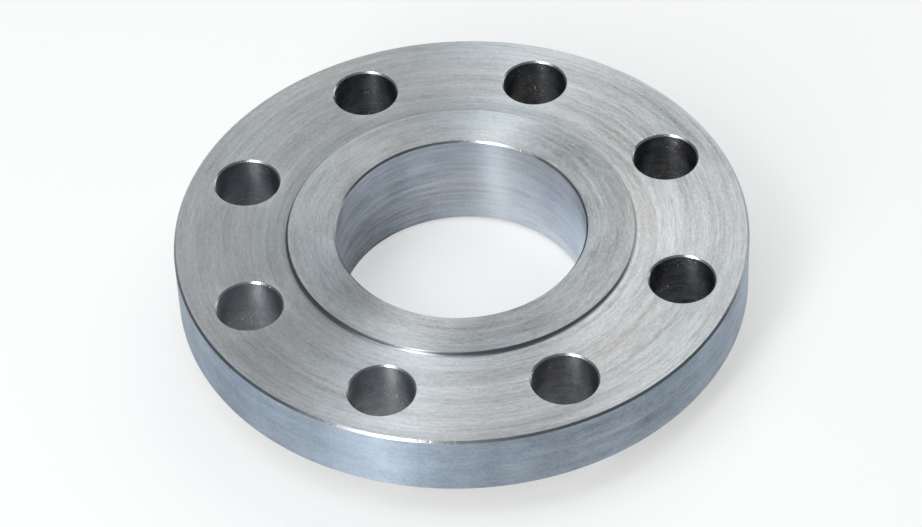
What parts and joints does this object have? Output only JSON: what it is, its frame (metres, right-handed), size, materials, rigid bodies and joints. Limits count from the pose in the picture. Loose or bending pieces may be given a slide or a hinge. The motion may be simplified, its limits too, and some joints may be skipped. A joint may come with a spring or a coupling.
{
  "type": "slip on flange",
  "caption": "Thick round slip-on pipe flange with a low raised gasket face, a wide plain bore, a ring of bolt holes and a short hub behind.",
  "frame": {"origin": "centre of the hub's end face, which the flange stands on, on the axis of the bore", "axes": "+Z along the bore, from the hub's end towards the raised gasket face; X and Y each pass midway between two bolt holes"},
  "size_m": [0.21, 0.21, 0.0408],
  "materials": {
    "turned_steel": "turned, light concentric tool marks"
  },
  "bodies": {
    "root": {"flange": "turned_steel"}
  },
  "joints": []
}
